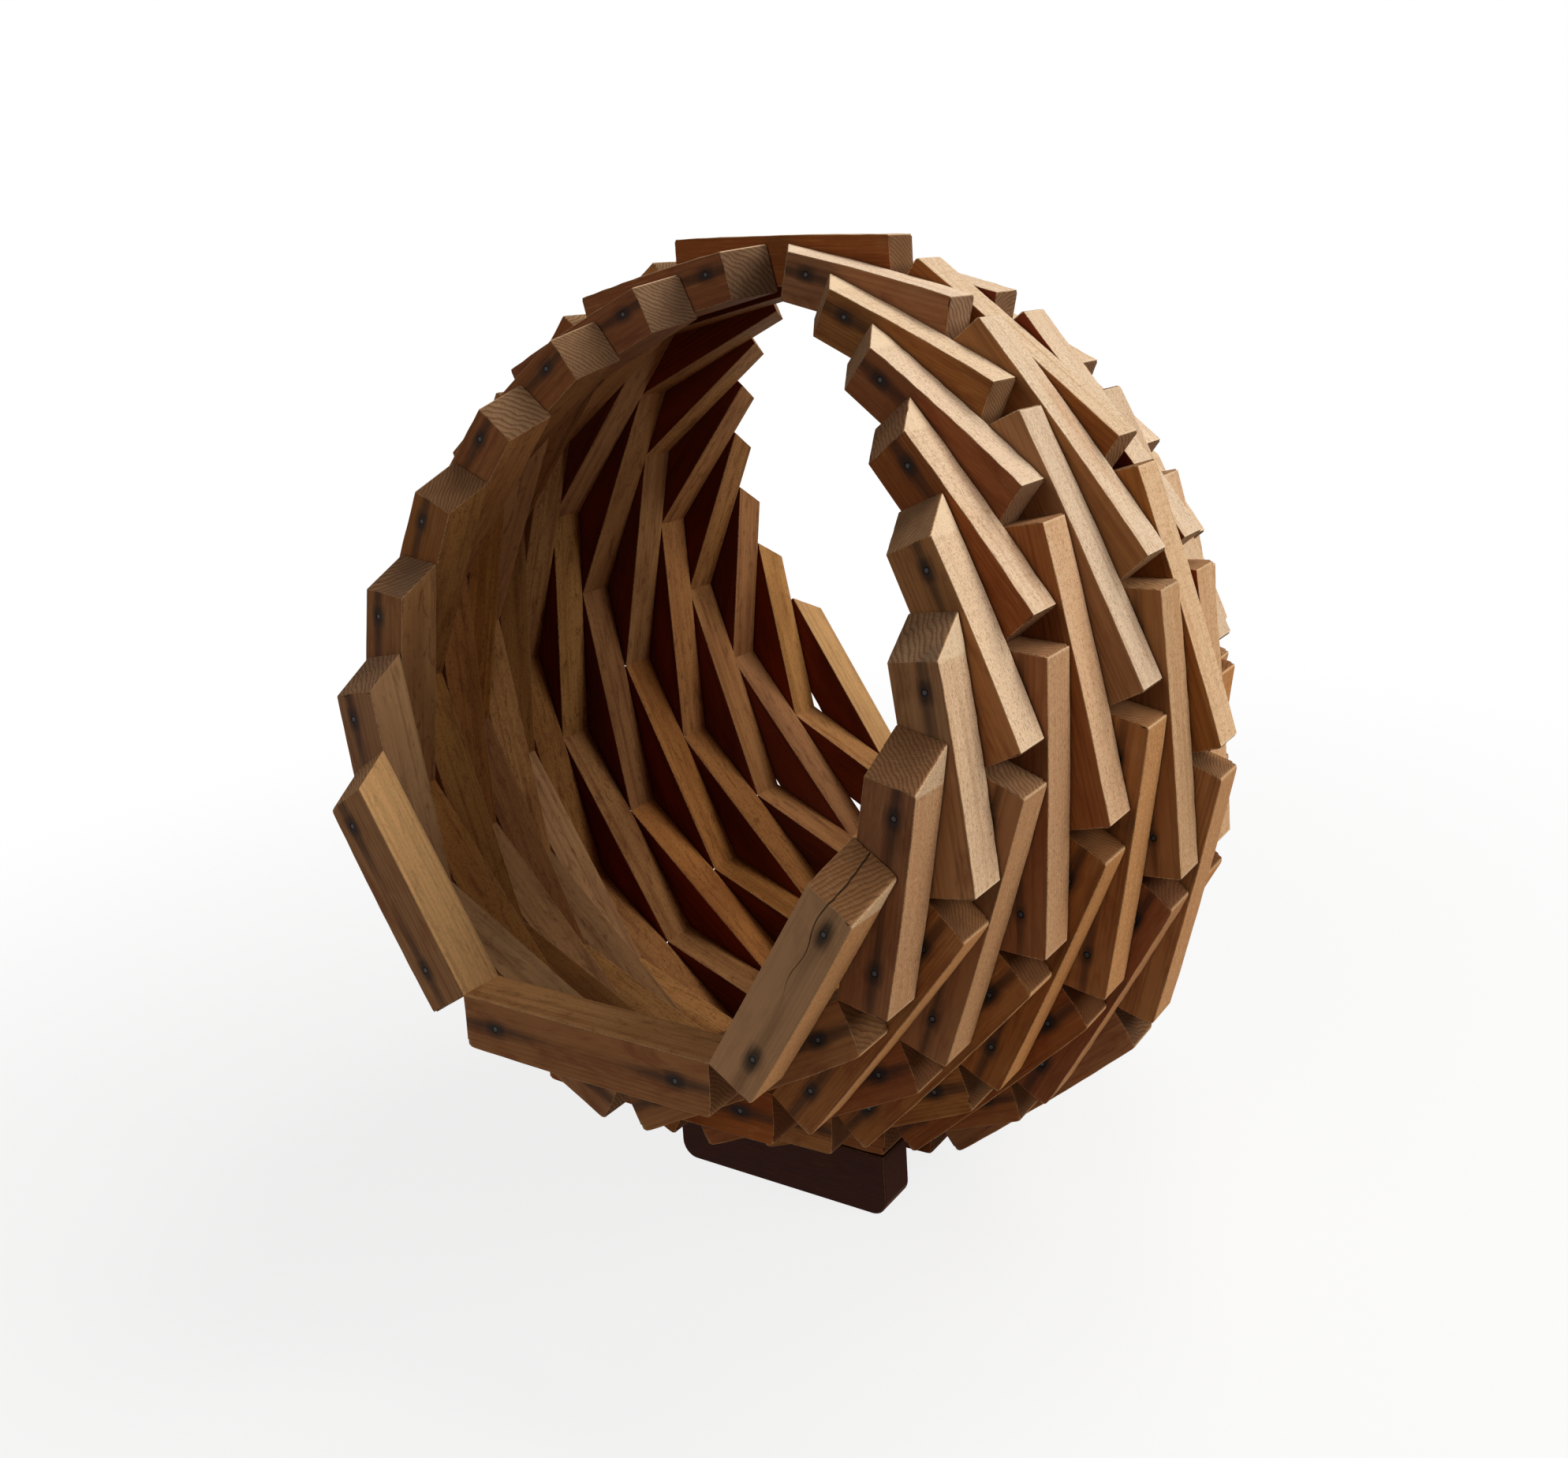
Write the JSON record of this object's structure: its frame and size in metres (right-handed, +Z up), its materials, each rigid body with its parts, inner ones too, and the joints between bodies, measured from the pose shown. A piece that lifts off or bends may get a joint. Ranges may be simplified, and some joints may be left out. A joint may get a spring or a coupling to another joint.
{
  "type": "wooden basket",
  "caption": "Ball-shaped wooden basket of square-cut sticks nailed crosswise in overlapping courses, open at both faces and standing on batten feet.",
  "frame": {"origin": "bottom centre of the bounding box, on the undersides of the feet", "axes": "+Z up, -Y out of the front opening, +X to the right as seen from the front"},
  "size_m": [0.475, 0.3482, 0.4944],
  "materials": {
    "stick_tan": "sawn, unfinished",
    "stick_brown": "sawn, unfinished",
    "stick_light": "sawn, unfinished",
    "stick_russet": "sawn, unfinished",
    "stick_honey": "sawn, unfinished",
    "foot_wood": "sawn, unfinished"
  },
  "bodies": {
    "root": {"back_foot": "foot_wood", "front_foot": "foot_wood", "stick_17_no01": "stick_brown", "stick_17_no02": "stick_light", "stick_17_no03": "stick_russet", "sticks_01_02_no01": "stick_light", "sticks_01_02_no02": "stick_honey", "sticks_01_02_no03": "stick_brown", "sticks_03_04_no01": "stick_honey", "sticks_03_04_no02": "stick_brown", "sticks_03_04_no03": "stick_russet", "sticks_03_04_no04": "stick_tan", "sticks_03_04_no05": "stick_light", "sticks_05_06_no01": "stick_brown", "sticks_05_06_no02": "stick_russet", "sticks_05_06_no03": "stick_tan", "sticks_05_06_no04": "stick_light", "sticks_05_06_no05": "stick_honey", "sticks_05_06_no06": "stick_brown", "sticks_05_06_no07": "stick_russet", "sticks_07_08_no01": "stick_russet", "sticks_07_08_no02": "stick_tan", "sticks_07_08_no03": "stick_light", "sticks_07_08_no04": "stick_honey", "sticks_07_08_no05": "stick_brown", "sticks_07_08_no06": "stick_russet", "sticks_07_08_no07": "stick_tan", "sticks_07_08_no08": "stick_light", "sticks_07_08_no09": "stick_honey", "sticks_09_10_no01": "stick_tan", "sticks_09_10_no02": "stick_light", "sticks_09_10_no03": "stick_honey", "sticks_09_10_no04": "stick_brown", "sticks_09_10_no05": "stick_russet", "sticks_09_10_no06": "stick_tan", "sticks_09_10_no07": "stick_light", "sticks_09_10_no08": "stick_honey", "sticks_09_10_no09": "stick_brown", "sticks_09_10_no10": "stick_russet", "sticks_11_12_no01": "stick_light", "sticks_11_12_no02": "stick_honey", "sticks_11_12_no03": "stick_brown", "sticks_11_12_no04": "stick_russet", "sticks_11_12_no05": "stick_tan", "sticks_11_12_no06": "stick_light", "sticks_11_12_no07": "stick_honey", "sticks_11_12_no08": "stick_brown", "sticks_13_14_no01": "stick_honey", "sticks_13_14_no02": "stick_brown", "sticks_13_14_no03": "stick_russet", "sticks_13_14_no04": "stick_tan", "sticks_13_14_no05": "stick_light", "sticks_13_14_no06": "stick_honey", "sticks_15_16_no01": "stick_brown", "sticks_15_16_no02": "stick_russet", "sticks_15_16_no03": "stick_tan", "sticks_15_16_no04": "stick_light"}
  },
  "joints": []
}
